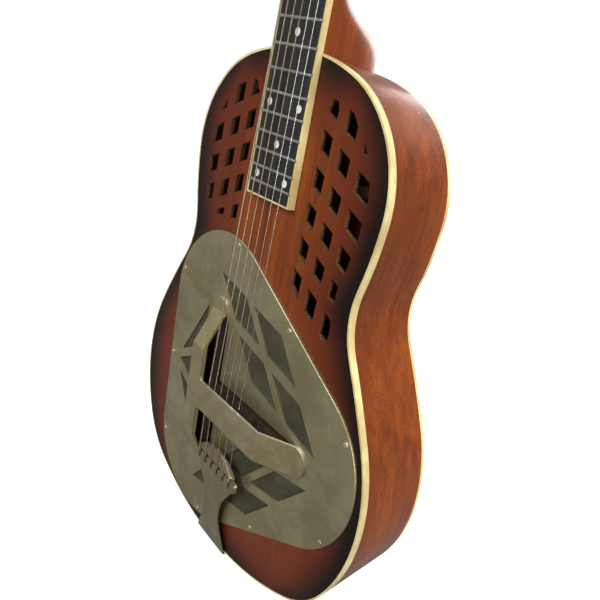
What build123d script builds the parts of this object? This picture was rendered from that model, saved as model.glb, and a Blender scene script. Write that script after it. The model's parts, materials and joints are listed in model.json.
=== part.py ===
"""Wood-bodied resonator guitar with three cones, a T bridge and a slotted headstock.

The guitar hangs upright: +Z runs from the tail to the headstock, the face looks along -Y and
+X is the treble side. All sizes are millimetres. Inside the script a point is given by
x (treble positive), s (distance from the tail of the body along the centre line) and depth
(distance behind the outer face of the soundboard) or height (distance in front of it).
"""
from build123d import *
from math import cos, exp, pi, radians, sin
import os

os.makedirs("parts", exist_ok=True)

# ---- body ----
FACE_Y = -31.3                # where the soundboard's outer face lies along Y
TAIL_Z = 13.5                 # the strap button hangs this far below the tail
BODY_LENGTH = 501.6
TAIL_DEPTH = 84.6             # body depth at the tail
DEPTH_FALL = 0.0248           # the body gets shallower by this much per millimetre of length
OUTLINE_ARCS = (              # radius and turn of each bend, tail to shoulder; negative is hollow
    (260.5, 27.0), (97.7, 35.9), (174.7, 53.6), (898.0, 4.6), (-72.0, 44.2), (282.0, 11.0),
    (94.4, 73.0))
TOP_T = 4.0                   # soundboard thickness
BACK_T = 3.5
SIDE_T = 3.0
BINDING_T = 1.8
FRONT_BINDING_H = 6.5
BACK_BINDING_H = 3.6
LINING_T = 6.0
LINING_H = 11.0
BLOCK_T = 15.0                # tail block, measured along the body
BLOCK_HALF_W = 38.0
NECK_BLOCK_T = 28.0
NECK_BLOCK_HALF_W = 42.0
STICK_W = 32.0                # stick that carries the string pull under the cones
STICK_DEPTHS = (32.0, 54.0)

# ---- cover plate, well and cones; places are measured from the plate's centre line ----
PLATE_S = 174.7               # the saddle and the cover plate share this centre
PLATE_T = 1.2
PLATE_H = 2.4                 # height of the cover plate's outer face
BASS_CORNER = (-47.5, 79.5)
BASS_CORNER_R = 81.5
TREBLE_CORNER = (81.0, 0.0)
TREBLE_CORNER_R = 88.0
WELL_INSET = 8.0
WELL_T = 3.0
WELL_DEPTH = 26.0
WELL_FLOOR_T = 3.0
CONE_R = 71.0
CONE_T = 0.8
CONE_TOP_DEPTH = 6.0
CONE_RIM_W = 6.0
CONE_CAP_R = 8.0
CONE_PLACES = {"bass_upper": (-45.0, 77.0), "bass_lower": (-45.0, -77.0), "treble": (84.0, 0.0)}
BRIDGE_W = 11.0
SCREW_R = 1.3
SCREW_HEAD_R = 2.6
SCREW_INSET = 5.2
SLOT_X = -46.0                # centre of the long branch of the T slot
SLOT_W = 30.0
SLOT_HALF_L = 83.0
SLOT_ARM_W = 26.0
SLOT_ARM_END = 88.0

# ---- openings in the upper bout: slanting columns of holes trimmed to a leaf ----
GRILLE_ROW = 28.2             # from one row of holes to the next
GRILLE_HOLE_H = 16.0
GRILLE_LAST_H = 21.0
GRILLE_FALL = 0.45            # each row drops this much per millimetre outwards
GRILLE_TOP = 477.7            # top inner corner of the first row
GRILLES = {                   # side, inner edges and widths of the columns, rows, lean of the columns
    "treble": (1, (45.0, 66.5, 90.0), (11.7, 13.2, 16.4), 6, 0.02),
    "bass": (-1, (43.5, 64.7, 88.0), (11.2, 12.6, 16.0), 5, -0.056)}
LEAF_TOP = ((40, 463), (45.5, 464), (47.5, 470), (51, 471.6), (55, 470), (57.5, 464), (66, 467.6),
            (73, 465.5), (80, 457.5), (89.5, 449.5), (97, 438), (103, 427), (106.6, 407), (105.8, 382))
LEAF_TREBLE_END = ((102.8, 367), (100, 352), (96.3, 340), (95.8, 316), (98.4, 304), (98.2, 296),
                   (94.5, 290.5), (87, 292), (76, 301), (63, 305), (50.5, 314.5), (43, 321), (36, 331))
LEAF_BASS_END = ((103, 371), (102, 345), (96, 344), (70, 346.5), (49, 350), (36, 352))

# ---- hand rest ----
REST_H = 22.0
REST_T = 2.3
REST_BAR_W = 19.0
REST_FOOT_W = 24.0
REST_ARM_W = 30.0
REST_BAR_FOLDS = (48.5, 84.0, 98.0)
REST_ARM_FOLDS = (62.0, 95.0, 110.5)

# ---- strings, neck and head ----
SCALE = 648.0
JOINT_S = 501.0               # the body meets the neck at the twelfth fret
BOARD_H = 5.1                 # height of the fingerboard's top where the body starts
BOARD_TILT = 0.989            # degrees by which the neck leans back
BOARD_T = 5.1
FRETS = 19
BOARD_PAST_LAST = 12.0
BOARD_HALF_12 = 27.4          # half width over the binding at the twelfth fret
BOARD_SPREAD = 0.0134         # half width lost per millimetre towards the nut
BOARD_BINDING = 1.5
NUT_T = 5.0
SADDLE_H = 17.5               # height of the strings over the soundboard at the saddle
STRING_SPREAD = {"nut": 36.0, "saddle": 52.0, "tail": 55.0}
STRING_R = (0.23, 0.28, 0.36, 0.45, 0.56, 0.68)
HEAD_ANGLE = 14.0
HEAD_LENGTH = 178.0
HEAD_HALF_W = 34.0
HEAD_T = 18.5
VENEER_T = 1.5
TUNER_V = (50.0, 85.0, 120.0)  # rollers, measured up the headstock
ROLLER_DEPTH = 9.0
ROLLER_R = 3.0
RUN = 0.05                    # radial clearance of every turning shaft
HEAD_SLOT_X = 15.5
HEAD_SLOT_W = 15.0
HEAD_SLOT_L = 120.0
TUNER_PLATE_T = 1.3
GEAR_TEETH = 14
MODULE = 0.7
GEAR_W = 2.4
WORM_PITCH_R = 2.4
WORM_R = 1.5

TUNER_PLATE_V = (33.0, 136.0)  # ends of a tuner plate, measured up the headstock
TUNER_PLATE_DEPTHS = (2.5, 15.5)
TUNER_SCREW_V = (37.2, 64.0, 100.0, 130.5)
TUNER_SCREW_R = 1.2
TUNER_SCREW_L = 10.0
GEAR_X = 38.5                 # distance of gears and worms from the centre line
LUG_DEPTHS = (3.2, 13.2)      # front of the two lugs that carry a worm
LUG_T = 1.6
LUG_HALF_W = 2.6
BUTTON_DEPTHS = (25.0, 39.0)
COIL_X = (19.0, 15.0, 13.0)   # where the strings wind, from the nut's rollers up
NUT_STRING_H = 0.8            # underside of the strings over the fingerboard at the nut
DOTS = ((5, 2), (7, 1), (9, 2), (12, 1), (15, 2), (17, 1), (19, 2))  # fret and how many dots
DOT_R = 3.1
DOT_T = 1.0
DOT_PAIR_X = 19.0
HEEL_END = 87.0               # above this the neck is plain, and tapers to its end
HEEL_RISE = 58.0              # how much deeper the heel is than the neck
HEEL_MIDDLE = 30.0
HEEL_BLEND = 5.5
NECK_T = 20.0
NECK_END_T = 17.0
HEEL_CAP_T = 3.0
HEAD_SHOULDER = 20.0
ROD_W = 6.2
ROD_H = 9.2
ROD_L = 300.0
WORM_OFFSET = GEAR_TEETH * MODULE / 2 + WORM_PITCH_R

# ---- tailpiece ----
TAIL_BUTTON_DEPTH = 40.0
STRAP_SCREW_R = 2.5
TAILPIECE_S = 111.0           # the comb's front step
TAILPIECE_LEAN = 1.5          # degrees: the strap is screwed on a little to the bass side
TAILPIECE_T = 1.6
HOOK_PITCH = STRING_SPREAD["tail"] / 5


# ---------------------------------------------------------------- planes
def face(depth=0.0, s=0.0, x=0.0):
    """Plane parallel to the soundboard; its x is x, its y runs up the body, it faces the player."""
    return Plane(origin=(x, FACE_Y + depth, TAIL_Z + s), x_dir=(1, 0, 0), z_dir=(0, -1, 0))


def side_view(x=0.0, s=0.0):
    """Upright plane along the body; its x runs up the body and its y is height over the face."""
    return Plane(origin=(x, FACE_Y, TAIL_Z + s), x_dir=(0, 0, 1), z_dir=(1, 0, 0))


def cross_view(s):
    """Level plane across the body; its x is x and its y is height in front of the soundboard."""
    return Plane(origin=(0, FACE_Y, TAIL_Z + s), x_dir=(1, 0, 0), z_dir=(0, 0, -1))


def back_view(inside=0.0):
    """Plane of the tilted back, moved inwards."""
    tilt = Plane(origin=(0, FACE_Y + TAIL_DEPTH, TAIL_Z), x_dir=(1, 0, 0), z_dir=(0, -1, -DEPTH_FALL))
    return tilt.offset(inside)


def leaning(origin_yz, degrees_back):
    """Plane across x whose y leans back from upright by the given angle."""
    a = radians(degrees_back)
    return Plane(origin=(0, *origin_yz), x_dir=(1, 0, 0), z_dir=(0, -cos(a), sin(a)))


BOARD = leaning((FACE_Y - BOARD_H, TAIL_Z + JOINT_S), BOARD_TILT)
HEAD_START = BOARD.from_local_coords((0, SCALE / 2 + NUT_T, -BOARD_T))
HEAD = leaning((HEAD_START.Y, HEAD_START.Z), BOARD_TILT + HEAD_ANGLE)


def along_board(x):
    """Plane across the fingerboard's side; its x runs to the nut and its y is height over the board."""
    return Plane(origin=BOARD.from_local_coords((x, 0, 0)), x_dir=BOARD.y_dir, z_dir=(1, 0, 0))


def fret_u(n):
    """Distance of a fret from the body joint, towards the nut."""
    return SCALE / 2 - SCALE * (1 - 2 ** (-n / 12))


def board_half(u):
    """Half width of the fingerboard over its binding."""
    return BOARD_HALF_12 - BOARD_SPREAD * u


BOARD_END = fret_u(FRETS) - BOARD_PAST_LAST


def save(part, label):
    """Label one finished piece and write its STEP file."""
    part.part.label = label
    export_step(part.part, f"parts/{label}.step")


# ---------------------------------------------------------------- body outline
def outline_lines():
    """Half outline as tangent arcs, closed by one arc centred on the centre line, then mirrored."""
    point = Vector(0, 0)
    heading = 0.0
    for radius, turn in OUTLINE_ARCS:
        bend = turn if radius > 0 else -turn
        tangent = (cos(radians(heading)), sin(radians(heading)))
        arc = JernArc(start=point, tangent=tangent, radius=abs(radius), arc_size=bend)
        point = arc @ 1
        heading += bend
    last_radius = point.X / sin(radians(heading))
    tangent = (cos(radians(heading)), sin(radians(heading)))
    JernArc(start=point, tangent=tangent, radius=last_radius, arc_size=180 - heading)
    mirror(about=Plane.YZ)


def body_outline(inset=0.0):
    """The body's outline as a face on XY, shrunk by the inset."""
    with BuildSketch(Plane.XY, mode=Mode.PRIVATE) as shape:
        with BuildLine():
            outline_lines()
        make_face()
        if inset:
            offset(amount=-inset)
    return shape.sketch


def body_shape(plane, inset=0.0):
    """The body's outline on a plane."""
    with BuildSketch(plane) as shape:
        add(body_outline(inset))
    return shape.sketch


def body_ring(plane, outer, inner):
    """A band that follows the outline between two insets."""
    with BuildSketch(plane) as ring:
        add(body_outline(outer))
        add(body_outline(inner), mode=Mode.SUBTRACT)
    return ring.sketch


def body_slice(plane, inset, s, length, half_w):
    """The part of the outline that lies in a rectangle centred at s."""
    with BuildSketch(plane) as piece:
        add(body_outline(inset))
        with BuildSketch(mode=Mode.INTERSECT):
            with Locations((0, s)):
                Rectangle(2 * half_w, length)
    return piece.sketch


def trim_behind(inside):
    """Cut away everything behind the tilted back, moved inwards."""
    with BuildSketch(back_view(inside)) as cutter:
        with Locations((0, BODY_LENGTH / 2)):
            Rectangle(500, 700)
    extrude(cutter.sketch, amount=-60, mode=Mode.SUBTRACT)


def trim_in_front(inside):
    """Cut away everything in front of the tilted back, moved inwards."""
    with BuildSketch(back_view(inside)) as cutter:
        with Locations((0, BODY_LENGTH / 2)):
            Rectangle(500, 700)
    extrude(cutter.sketch, amount=130, mode=Mode.SUBTRACT)


# ---------------------------------------------------------------- cover plate outline
def plate_outline(inset=0.0):
    """Rounded triangle on XY: the hull of one circle in each corner."""
    with BuildSketch(Plane.XY, mode=Mode.PRIVATE) as shape:
        for side in (1, -1):
            with Locations((BASS_CORNER[0], PLATE_S + side * BASS_CORNER[1])):
                Circle(BASS_CORNER_R - inset)
        with Locations((TREBLE_CORNER[0], PLATE_S + TREBLE_CORNER[1])):
            Circle(TREBLE_CORNER_R - inset)
        make_hull(shape.edges())
    return shape.sketch


def plate_ring(depth, outer, inner):
    """A band that follows the cover plate's edge between two insets."""
    with BuildSketch(face(depth)) as ring:
        add(plate_outline(outer))
        add(plate_outline(inner), mode=Mode.SUBTRACT)
    return ring.sketch


def screw_places():
    """Nine screws near the plate's edge: two per bass corner, one per long side, two at the treble."""
    places = [(BASS_CORNER[0] - BASS_CORNER_R + SCREW_INSET, 0.0)]
    run = (TREBLE_CORNER[0] - BASS_CORNER[0], -BASS_CORNER[1])
    length = (run[0] ** 2 + run[1] ** 2) ** 0.5
    lean = (BASS_CORNER_R - TREBLE_CORNER_R) / length
    along = Vector(run[0] / length, run[1] / length)
    out = Vector(-along.Y, along.X) * (1 - lean ** 2) ** 0.5 + along * lean
    middle = (Vector(*BASS_CORNER) + Vector(*TREBLE_CORNER)) * 0.5
    middle = middle + out * ((BASS_CORNER_R + TREBLE_CORNER_R) / 2 - SCREW_INSET)
    for side in (1, -1):
        for angle in (80, 164):
            a = radians(angle)
            r = BASS_CORNER_R - SCREW_INSET
            places.append((BASS_CORNER[0] + r * cos(a), side * (BASS_CORNER[1] + r * sin(a))))
        a = radians(38)
        r = TREBLE_CORNER_R - SCREW_INSET
        places.append((TREBLE_CORNER[0] + r * cos(a), side * r * sin(a)))
        places.append((middle.X, side * middle.Y))
    return places


# ---------------------------------------------------------------- openings in wood and plate
def grille_holes(name):
    """Slanting columns of small parallelogram holes, trimmed to the shape of a leaf."""
    side, edges, widths, rows, lean = GRILLES[name]
    leaf = LEAF_TOP + (LEAF_TREBLE_END if side > 0 else LEAF_BASS_END)
    with BuildSketch(Plane.XY, mode=Mode.PRIVATE) as holes:
        for edge, width in zip(edges, widths):
            for row in range(rows):
                top = GRILLE_TOP - GRILLE_ROW * row - GRILLE_FALL * (edge - edges[0])
                height = GRILLE_LAST_H if side > 0 and row == rows - 1 else GRILLE_HOLE_H
                shift = lean * (top - GRILLE_TOP + GRILLE_ROW)
                low_shift = lean * (top - height - GRILLE_TOP + GRILLE_ROW)
                drop = GRILLE_FALL * width
                with BuildLine():
                    Polyline(
                        (side * (edge + shift), top),
                        (side * (edge + width + shift), top - drop),
                        (side * (edge + width + low_shift), top - height - drop),
                        (side * (edge + low_shift), top - height),
                        close=True)
                make_face()
        with BuildSketch(mode=Mode.INTERSECT):
            with BuildLine():
                Polyline(*((side * x, s) for x, s in leaf), close=True)
            make_face()
    return holes.sketch


def diamond_windows():
    """Corner points of the screened windows: two blocks of four diamonds and three on the bass side."""
    start = Vector(-53.5, 121.7)
    across = Vector(56.2, -12.0)
    down = Vector(40.4, -47.9)
    wide = Vector(43.5, -9.0)
    tall = Vector(30.5, -35.5)
    windows = []
    for side in (1, -1):
        for i in (0, 1):
            for j in (0, 1):
                p = start + across * i + down * j
                corners = (p, p + wide, p + wide + tall, p + tall)
                windows.append([(c.X, side * c.Y) for c in corners])
        windows.append([(-106.0, side * 13.0), (-67.0, side * 83.0), (-67.0, side * 35.0)])
    windows.append([(-109.5, 0.0), (-67.0, 24.4), (-67.0, -24.4)])
    return windows


# ---------------------------------------------------------------- body parts
def make_soundboard():
    with BuildPart() as soundboard:
        with BuildSketch(face()):
            add(body_outline(BINDING_T))
            add(plate_outline(WELL_INSET), mode=Mode.SUBTRACT)
            add(grille_holes("treble"), mode=Mode.SUBTRACT)
            add(grille_holes("bass"), mode=Mode.SUBTRACT)
        extrude(amount=-TOP_T)
        with Locations(face(0, PLATE_S)):
            with Locations(*screw_places()):
                Hole(SCREW_R, depth=TOP_T)
    save(soundboard, "soundboard")


def make_shell():
    with BuildPart() as sides:
        extrude(body_ring(face(TOP_T), 0, SIDE_T), amount=-90)
        trim_behind(BACK_T)
        extrude(body_ring(face(), -1, BINDING_T), amount=-FRONT_BINDING_H, mode=Mode.SUBTRACT)
        band = body_ring(back_view(BACK_BINDING_H), -1, BINDING_T)
        extrude(band, amount=-20, mode=Mode.SUBTRACT)
        drill_tail()
    save(sides, "body_sides")

    with BuildPart() as front_binding:
        extrude(body_ring(face(), 0, BINDING_T), amount=-FRONT_BINDING_H)
    save(front_binding, "front_binding")

    with BuildPart() as back_binding:
        extrude(body_ring(face(50), 0, BINDING_T), amount=-50)
        trim_behind(0)
        trim_in_front(BACK_BINDING_H)
    save(back_binding, "back_binding")

    with BuildPart() as back_plate:
        extrude(body_shape(face(50), BINDING_T), amount=-50)
        trim_behind(0)
        trim_in_front(BACK_T)
    save(back_plate, "back_plate")

    with BuildPart() as front_lining:
        extrude(body_ring(face(TOP_T), SIDE_T, SIDE_T + LINING_T), amount=-LINING_H)
        clear_blocks()
    save(front_lining, "front_lining")

    with BuildPart() as back_lining:
        extrude(body_ring(face(40), SIDE_T, SIDE_T + LINING_T), amount=-60)
        trim_behind(BACK_T)
        trim_in_front(BACK_T + LINING_H)
        clear_blocks()
    save(back_lining, "back_lining")


def tail_screw_places():
    """x and depth of the two screws in the tailpiece's turned-down end."""
    return ((-17, 22), (11, 22))


def drill_tail():
    """Holes at the tail end for the strap button's screw and the tailpiece's two screws."""
    depth = 2 * (SIDE_T + BLOCK_T)
    with Locations(face(TAIL_BUTTON_DEPTH)):
        Cylinder(STRAP_SCREW_R, depth, rotation=(90, 0, 0), mode=Mode.SUBTRACT)
    for x, back in tail_screw_places():
        with Locations(face(back, 0, x)):
            Cylinder(SCREW_R, depth, rotation=(90, 0, 0), mode=Mode.SUBTRACT)


def clear_blocks():
    """Leave room for the tail block and the neck block."""
    with BuildSketch(face(-5)) as room:
        with Locations((0, BLOCK_T / 2)):
            Rectangle(2 * BLOCK_HALF_W, BLOCK_T + 2 * SIDE_T)
        with Locations((0, BODY_LENGTH - NECK_BLOCK_T / 2)):
            Rectangle(2 * NECK_BLOCK_HALF_W, NECK_BLOCK_T + 2 * SIDE_T)
    extrude(room.sketch, amount=-120, mode=Mode.SUBTRACT)


def make_frame():
    with BuildPart() as tail_block:
        extrude(body_slice(face(TOP_T), SIDE_T, BLOCK_T / 2, BLOCK_T + 2 * SIDE_T, BLOCK_HALF_W), amount=-90)
        trim_behind(BACK_T)
        drill_tail()
    save(tail_block, "tail_block")

    with BuildPart() as neck_block:
        middle = BODY_LENGTH - NECK_BLOCK_T / 2
        length = NECK_BLOCK_T + 2 * SIDE_T
        extrude(body_slice(face(TOP_T), SIDE_T, middle, length, NECK_BLOCK_HALF_W), amount=-90)
        trim_behind(BACK_T)
        with BuildSketch(face(STICK_DEPTHS[0])):
            with Locations((0, BODY_LENGTH - NECK_BLOCK_T)):
                Rectangle(STICK_W, 4 * NECK_BLOCK_T)
        extrude(amount=STICK_DEPTHS[0] - STICK_DEPTHS[1], mode=Mode.SUBTRACT)
    save(neck_block, "neck_block")

    with BuildPart() as neck_stick:
        low = BLOCK_T + SIDE_T
        high = BODY_LENGTH - SIDE_T - 1.2
        with BuildSketch(face(STICK_DEPTHS[0])):
            with Locations((0, (low + high) / 2)):
                Rectangle(STICK_W, high - low)
        extrude(amount=STICK_DEPTHS[0] - STICK_DEPTHS[1])
    save(neck_stick, "neck_stick")

    with BuildPart() as braces:
        with BuildSketch(face(TOP_T)):
            with Locations((0, 388)):
                Rectangle(72, 9)
        extrude(amount=-7.5)
        for s in (95, 250, 405):
            extrude(body_slice(face(20), SIDE_T + LINING_T + 0.5, s, 10, 200), amount=-80)
        with BuildSketch(back_view(BACK_T + 10)) as room:
            with Locations((0, BODY_LENGTH / 2)):
                Rectangle(500, 700)
        extrude(room.sketch, amount=TAIL_DEPTH - 35, mode=Mode.SUBTRACT)
        trim_behind(BACK_T)
    save(braces, "braces")


# ---------------------------------------------------------------- resonator parts
def make_resonator():
    with BuildPart() as soundwell:
        extrude(plate_ring(0, WELL_INSET, WELL_INSET + WELL_T), amount=-WELL_DEPTH)
        with BuildSketch(face(WELL_DEPTH)):
            add(plate_outline(WELL_INSET))
            with Locations(*((x, PLATE_S + s) for x, s in CONE_PLACES.values())):
                Circle(CONE_R - CONE_RIM_W + 1, mode=Mode.SUBTRACT)
        extrude(amount=WELL_FLOOR_T)
    save(soundwell, "soundwell")

    for name, (x, s) in CONE_PLACES.items():
        with BuildPart() as cone:
            place = Plane(origin=(x, FACE_Y, TAIL_Z + PLATE_S + s), x_dir=(1, 0, 0), z_dir=(0, 0, 1))
            rim_depth = WELL_DEPTH - WELL_FLOOR_T
            slope_r = CONE_R - CONE_RIM_W
            ridges = 9
            upper = [(0, CONE_TOP_DEPTH), (CONE_CAP_R, CONE_TOP_DEPTH)]
            for k in range(1, ridges + 1):
                t = k / ridges
                r = CONE_CAP_R + (slope_r - CONE_CAP_R) * t
                wave = 0.5 if k % 2 else -0.5
                drop = (rim_depth - CONE_T - CONE_TOP_DEPTH) * t
                upper.append((r, CONE_TOP_DEPTH + drop + (wave if k < ridges else 0)))
            upper.append((CONE_R, rim_depth - CONE_T))
            lower = [(r, depth + CONE_T) for r, depth in reversed(upper)]
            with BuildSketch(place):
                with BuildLine():
                    Polyline(*upper, *lower, close=True)
                make_face()
            revolve(axis=Axis(place.origin, (0, 1, 0)))
        save(cone, f"cone_{name}")

    bridge_top = -0.5
    with BuildPart() as t_bridge:
        bass_x, bass_s = CONE_PLACES["bass_upper"]
        treble_x = CONE_PLACES["treble"][0]
        with BuildSketch(face(bridge_top, PLATE_S)):
            with Locations((bass_x, 0)):
                RectangleRounded(BRIDGE_W, 2 * bass_s + 2 * CONE_CAP_R, BRIDGE_W / 2 - 0.5)
            with Locations(((bass_x + treble_x + CONE_CAP_R) / 2, 0)):
                Rectangle(treble_x + CONE_CAP_R - bass_x, BRIDGE_W)
            with Locations((treble_x, 0), (bass_x, bass_s), (bass_x, -bass_s)):
                Circle(CONE_CAP_R)
        extrude(amount=bridge_top - CONE_TOP_DEPTH)
        saddle_seat()
    save(t_bridge, "t_bridge")

    with BuildPart() as saddle:
        with BuildSketch(cross_view(PLATE_S)):
            with BuildLine():
                Polyline((-33, -bridge_top - 3), (33, -bridge_top - 3), (33, 9), (29, SADDLE_H - 0.4),
                         (-29, SADDLE_H + 0.2), (-33, 9), close=True)
            make_face()
        extrude(amount=3.2, both=True)
        for n in range(6):
            x = string_x(n, "saddle")
            with Locations(face(-SADDLE_H, PLATE_S, x)):
                Cylinder(STRING_R[n] + 0.08, 20, rotation=(90, 0, 0), mode=Mode.SUBTRACT)
            with Locations(face(-SADDLE_H - 5, PLATE_S, x)):
                Box(2 * STRING_R[n] + 0.16, 20, 10, mode=Mode.SUBTRACT)
    save(saddle, "saddle")


def saddle_seat():
    """Slot in the bridge's treble arm that the saddle drops into."""
    with Locations(face(-0.5, PLATE_S)):
        Box(66, 6.4, 6.0, mode=Mode.SUBTRACT)


# ---------------------------------------------------------------- cover plate and its trim
def make_cover():
    with BuildPart() as coverplate:
        with BuildSketch(face(-PLATE_H + PLATE_T)):
            add(plate_outline())
        extrude(amount=PLATE_T)
        extrude(plate_ring(0, 0, 1.5), amount=PLATE_H - PLATE_T)
        top_edge = coverplate.faces().sort_by(Axis.Y)[0].outer_wire().edges()
        fillet(top_edge, radius=1.0)
        with BuildSketch(face(-PLATE_H, PLATE_S)):
            with Locations((SLOT_X, 0)):
                RectangleRounded(SLOT_W, 2 * SLOT_HALF_L, 8)
            with Locations(((SLOT_X + SLOT_ARM_END) / 2, 0)):
                RectangleRounded(SLOT_ARM_END - SLOT_X, SLOT_ARM_W, 6)
            for corners in diamond_windows():
                with BuildLine():
                    Polyline(*corners, close=True)
                make_face()
        extrude(amount=-PLATE_H, mode=Mode.SUBTRACT)
        with Locations(face(-PLATE_H, PLATE_S)):
            with Locations(*screw_places()):
                Hole(SCREW_R, depth=PLATE_T)
    save(coverplate, "coverplate")

    with BuildPart() as screws:
        with Locations(face(-PLATE_H, PLATE_S)):
            with Locations(*screw_places()):
                Cylinder(SCREW_R, PLATE_H + TOP_T, align=(Align.CENTER, Align.CENTER, Align.MAX))
                Cylinder(SCREW_HEAD_R, 1.3, align=(Align.CENTER, Align.CENTER, Align.MIN))
        heads = screws.faces().filter_by(Plane.XZ).sort_by(Axis.Y)[0:9].edges()
        fillet(heads, radius=1.0)
        with Locations(face(-PLATE_H - 1.3, PLATE_S)):
            with Locations(*screw_places()):
                Box(5, 0.7, 1.2, mode=Mode.SUBTRACT)
    save(screws, "coverplate_screws")

    with BuildPart() as screens:
        with BuildSketch(face(-PLATE_H + PLATE_T, PLATE_S)):
            for side in (1, -1):
                with BuildLine():
                    Polyline((-60, side * 128), (50, side * 107), (121, side * 17), (12, side * 33), close=True)
                make_face()
            with BuildLine():
                Polyline((-113, 0), (-64, 91), (-64, -91), close=True)
            make_face()
        extrude(amount=-0.4)
    save(screens, "grille_screens")


def make_handrest():
    slope, foot, end = REST_BAR_FOLDS
    foot_top = PLATE_H + REST_T
    with BuildPart() as handrest:
        with BuildSketch(side_view(SLOT_X, PLATE_S)):
            with BuildLine():
                Polyline((-end, foot_top), (-foot, foot_top), (-slope, REST_H), (slope, REST_H),
                         (foot, foot_top), (end, foot_top))
                offset(amount=REST_T, side=Side.RIGHT, closed=True, kind=Kind.INTERSECTION)
            make_face()
        extrude(amount=REST_FOOT_W / 2, both=True)
        with BuildSketch(face(0, PLATE_S)):
            with Locations((SLOT_X, 0)):
                RectangleRounded(REST_BAR_W, 2 * foot + 4, 1)
            for side in (1, -1):
                with Locations((SLOT_X, side * (end - REST_FOOT_W / 2))):
                    Circle(REST_FOOT_W / 2)
        extrude(amount=REST_H + 5, mode=Mode.INTERSECT)
        slope, foot, end = REST_ARM_FOLDS
        with BuildSketch(cross_view(PLATE_S)) as arm_side:
            with BuildLine():
                Polyline((SLOT_X, REST_H), (slope, REST_H), (foot, foot_top), (end, foot_top))
                offset(amount=REST_T, side=Side.RIGHT, closed=True, kind=Kind.INTERSECTION)
            make_face()
        with BuildSketch(face(0, PLATE_S)) as arm_plan:
            with Locations(((SLOT_X + end - REST_ARM_W / 2) / 2, 0)):
                Rectangle(end - REST_ARM_W / 2 - SLOT_X, REST_ARM_W)
            with Locations((end - REST_ARM_W / 2, 0)):
                Circle(REST_ARM_W / 2)
        arm = extrude(arm_side.sketch, amount=REST_ARM_W, both=True, mode=Mode.PRIVATE)
        arm = arm & extrude(arm_plan.sketch, amount=REST_H + 5, mode=Mode.PRIVATE)
        add(arm)
        corner = (handrest.edges().filter_by(Axis.Y)
                  .filter_by_position(Axis.X, SLOT_X + 1, SLOT_X + REST_BAR_W)
                  .filter_by_position(Axis.Z, TAIL_Z + PLATE_S - 16, TAIL_Z + PLATE_S + 16))
        fillet(corner, radius=5)
    save(handrest, "handrest")


# ---------------------------------------------------------------- tailpiece
def tailpiece_plan(depth):
    """Plane of the tailpiece seen from the front, turned by its small lean."""
    a = radians(TAILPIECE_LEAN)
    return Plane(origin=(0, FACE_Y + depth, TAIL_Z + TAILPIECE_S), x_dir=(cos(a), 0, -sin(a)),
                 z_dir=(0, -1, 0))


def make_tailpiece():
    a = radians(TAILPIECE_LEAN)
    side = Plane(origin=(0, FACE_Y, TAIL_Z + TAILPIECE_S), x_dir=(sin(a), 0, cos(a)),
                 z_dir=(cos(a), 0, -sin(a)))
    tail = -TAILPIECE_S
    with BuildPart() as tailpiece:
        with BuildSketch(side):
            with BuildLine():
                start = (tail - 0.3, -52)
                leg = Line(start, (tail - 0.3, -2.5))
                bend = RadiusArc(leg @ 1, (tail + 3.6, 1.6), 4)
                Polyline(bend @ 1, (-66, 7.6), (-20, 10.4), (16, 12.4))
                offset(amount=TAILPIECE_T, side=Side.LEFT, closed=True, kind=Kind.INTERSECTION)
            make_face()
        extrude(amount=40, both=True)
        with BuildSketch(tailpiece_plan(60)):
            with BuildLine():
                half = Line((0, tail - 6), (25, tail - 6))
                flare = Line(half @ 1, (25, tail + 4))
                waist = Spline(flare @ 1, (13.6, tail + 40), (13.4, tail + 56), (25, tail + 84),
                               tangents=((-0.3, 1), (0.8, 1)))
                step = Line(waist @ 1, (31, tail + 96))
                rise = Line(step @ 1, (31.5, 1.5))
                ThreePointArc(rise @ 1, (22, 10.5), (0, 15.5))
                mirror(about=Plane.YZ)
            make_face()
        extrude(amount=100, mode=Mode.INTERSECT)
        with BuildSketch(tailpiece_plan(-11.4)):
            with Locations(*((HOOK_PITCH * (n - 3), -8) for n in range(7))):
                RectangleRounded(8.6, 12.5, 3.8)
        extrude(amount=3.2, taper=12)
        with BuildSketch(tailpiece_plan(-12.0)):
            with BuildLine():
                base = Line((-30.5, 0.5), (30.5, 0.5))
                ThreePointArc(base @ 1, (0, 14.5), base @ 0)
            make_face()
        extrude(amount=3.4, taper=18)
        with BuildSketch(tailpiece_plan(0)):
            with Locations(*((string_x(n, "tail"), -11.5) for n in range(6))):
                Circle(2.0)
            with Locations(*((string_x(n, "tail"), -5.5) for n in range(6))):
                Rectangle(1.8, 12)
        extrude(amount=20, mode=Mode.SUBTRACT)
        drill_tail()
    save(tailpiece, "tailpiece")


# ---------------------------------------------------------------- neck and headstock
def half_ellipse(u, half_w, deep):
    """Half-round section of the neck, flat side under the fingerboard."""
    origin = BOARD.from_local_coords((0, u, -BOARD_T))
    with BuildSketch(Plane(origin=origin, x_dir=(1, 0, 0), z_dir=BOARD.y_dir)) as section:
        with BuildLine():
            EllipticalCenterArc((0, 0), half_w, deep, arc_size=180)
            Line((-half_w, 0), (half_w, 0))
        make_face()
    return section.sketch


def neck_depth(u):
    """Depth of the neck under the fingerboard: an S-shaped swell into the heel."""
    swell = HEEL_RISE / (1 + exp((u - HEEL_MIDDLE) / HEEL_BLEND))
    return NECK_T + swell + 4.5 / (1 + (u / 60) ** 4)


def neck_solid():
    """Half-round neck that swells into the heel and butts against the body."""
    end = SCALE / 2 + NUT_T
    steps = 19
    with BuildPart() as neck:
        for k in range(steps + 1):
            u = (HEEL_END + 8) * k / steps - 8
            add(half_ellipse(u, board_half(u), neck_depth(u)))
        loft()
        add(half_ellipse(HEEL_END, board_half(HEEL_END), neck_depth(HEEL_END)))
        add(half_ellipse(end, board_half(end), NECK_END_T))
        loft(ruled=True)
        extrude(body_shape(face(-5)), amount=-100, mode=Mode.SUBTRACT)
    return neck.part


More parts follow.
